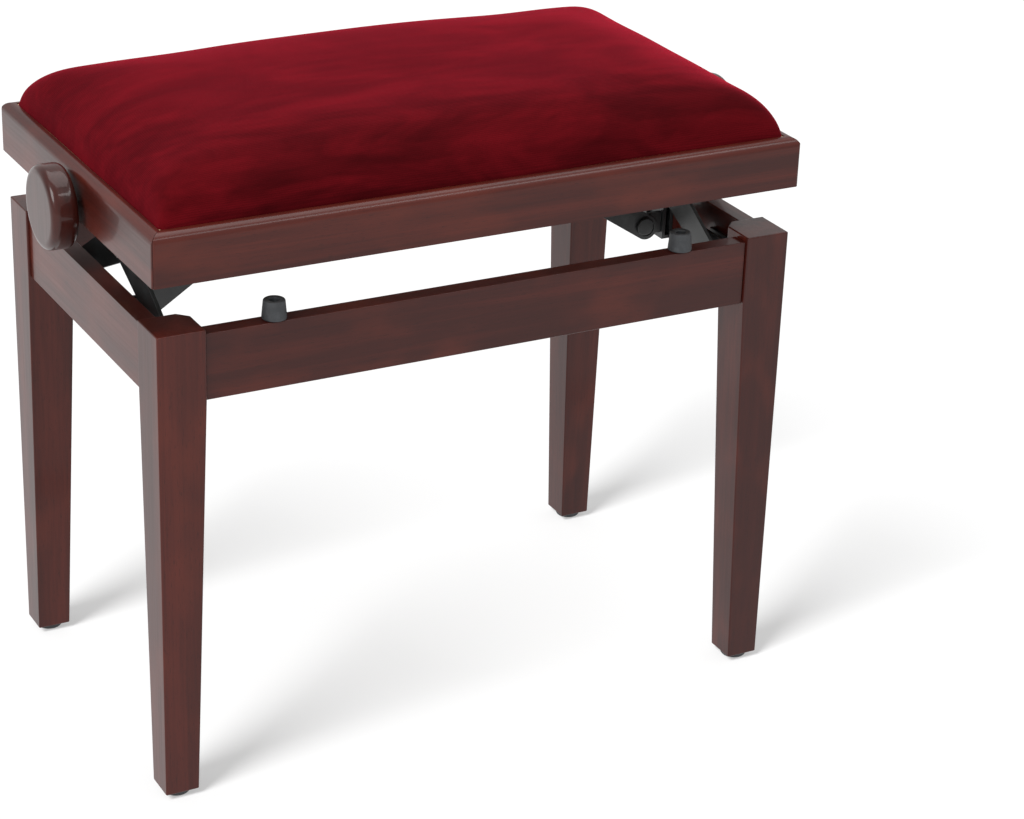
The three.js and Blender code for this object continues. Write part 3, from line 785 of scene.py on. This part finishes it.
def add_screws():
    """Screws that fix the bearing plates to the rails and the seat brackets to the seat board."""
    for side, sign in SIDES:
        low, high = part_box(f"spindle_bearing_{side}")
        inner_face = high.x if sign < 0 else low.x
        height = low.z + BEARING_SCREW_EDGE * 0.8
        near, far = low.y + 2 * BEARING_SCREW_EDGE, high.y - 2 * BEARING_SCREW_EDGE
        for name, y in (("front", near), ("back", far)):
            place = (inner_face, y, height)
            pan_head(f"bearing_screw_{name}_{side}", place, X_AXIS, -sign, BEARING_SCREW_RADIUS)
        low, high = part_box(f"seat_bracket_{side}")
        flange = (low.x + high.x) / 2 + sign * BRACKET_SHEET / 2
        for i, share in enumerate(BRACKET_SCREW_PLACES):
            place = (flange, low.y + (high.y - low.y) * share, high.z - BRACKET_SHEET)
            pan_head(f"bracket_screw_{i}_{side}", place, Z_AXIS, -1, BRACKET_SCREW_RADIUS)


# ---- Studio ---------------------------------------------------------------------------------

CAMERA_PLACE = Vector((-0.9328, -1.8800, 1.1809))
CAMERA_AIM = Vector((0.112, 0.0, 0.197))
CAMERA_ROLL = math.radians(2.10)
CAMERA_LENS, SENSOR_WIDTH = 97.2, 36
FLOOR_REACH = 9
WORLD_STRENGTH = 0.72
SUN_PLACE, SUN_ANGLE, SUN_STRENGTH = (-2.8, -1.15, 3.1), 0.40, 6.2
SOFTBOXES = (  # name, place, aim, width, height, power
    ("key", (-2.1, -0.9, 1.9), (0, 0, 0.2), 1.3, 1.3, 46),
    ("overhead", (0.3, 0.4, 3.0), (0, 0, 0.3), 2.4, 2.0, 34),
    ("strip", (1.0, -1.2, 2.2), (-0.1, -0.1, 0.45), 1.5, 0.35, 9),
)


def turned_towards(place, aim):
    return (Vector(aim) - Vector(place)).to_track_quat("-Z", "Y")


def add_camera():
    data = bpy.data.cameras.new("camera")
    data.sensor_width = SENSOR_WIDTH
    data.lens = CAMERA_LENS
    camera = bpy.data.objects.new("camera", data)
    bpy.context.scene.collection.objects.link(camera)
    camera.location = CAMERA_PLACE
    camera.rotation_mode = "QUATERNION"
    roll = Quaternion((0, 0, 1), CAMERA_ROLL)
    camera.rotation_quaternion = turned_towards(CAMERA_PLACE, CAMERA_AIM) @ roll
    bpy.context.scene.camera = camera


def add_lamp(data, place, aim):
    lamp = bpy.data.objects.new(data.name, data)
    bpy.context.scene.collection.objects.link(lamp)
    lamp.location = place
    lamp.rotation_euler = turned_towards(place, aim).to_euler()
    return lamp


def add_softbox(name, place, aim, width, height, power):
    data = bpy.data.lights.new(name, "AREA")
    data.shape = "RECTANGLE"
    data.size = width
    data.size_y = height
    data.energy = power
    return add_lamp(data, place, aim)


def add_sun(name):
    data = bpy.data.lights.new(name, "SUN")
    data.angle = SUN_ANGLE
    data.energy = SUN_STRENGTH
    return add_lamp(data, SUN_PLACE, (0, 0, 0))


def group_of(name, pieces, state="INCLUDE"):
    """A collection of pieces that a light shines on, is blocked by, or leaves out."""
    group = bpy.data.collections.new(name)
    for piece in pieces:
        group.objects.link(piece)
    for member in group.collection_objects:
        member.light_linking.link_state = state
    return group


def add_floor():
    shape = bmesh.new()
    bmesh.ops.create_grid(shape, x_segments=8, y_segments=8, size=FLOOR_REACH)
    mesh = bpy.data.meshes.new("studio_floor")
    shape.to_mesh(mesh)
    shape.free()
    mesh.materials.append(pale_floor())
    floor = bpy.data.objects.new("studio_floor", mesh)
    bpy.context.scene.collection.objects.link(floor)
    return floor


def add_studio():
    """Soft light on the bench; one more light draws the legs' soft shadows on the floor."""
    floor = add_floor()
    beside_floor = group_of("beside_floor", [floor], "EXCLUDE")
    for softbox in SOFTBOXES:
        add_softbox(*softbox).light_linking.receiver_collection = beside_floor
    sun = add_sun("leg_shadows")
    standing = [piece for piece in bpy.data.objects if piece.name.startswith(("leg_", "foot_glide_"))]
    sun.light_linking.receiver_collection = group_of("floor_only", [floor])
    sun.light_linking.blocker_collection = group_of("standing", standing)
    world = bpy.data.worlds.new("studio")
    world.use_nodes = True
    background = world.node_tree.nodes["Background"]
    background.inputs["Color"].default_value = (1.0, 1.0, 1.0, 1.0)
    background.inputs["Strength"].default_value = WORLD_STRENGTH
    scene = bpy.context.scene
    scene.world = world
    scene.view_settings.view_transform = "Standard"


# ---- Build ----------------------------------------------------------------------------------

add_base_wood()
add_seat_rails()
add_seat_board()
add_knobs()
add_cushion()
add_bumpers()
add_glides()
add_sheet_steel()
add_bolts_and_rods()
add_spindle()
add_screws()
add_camera()
add_studio()
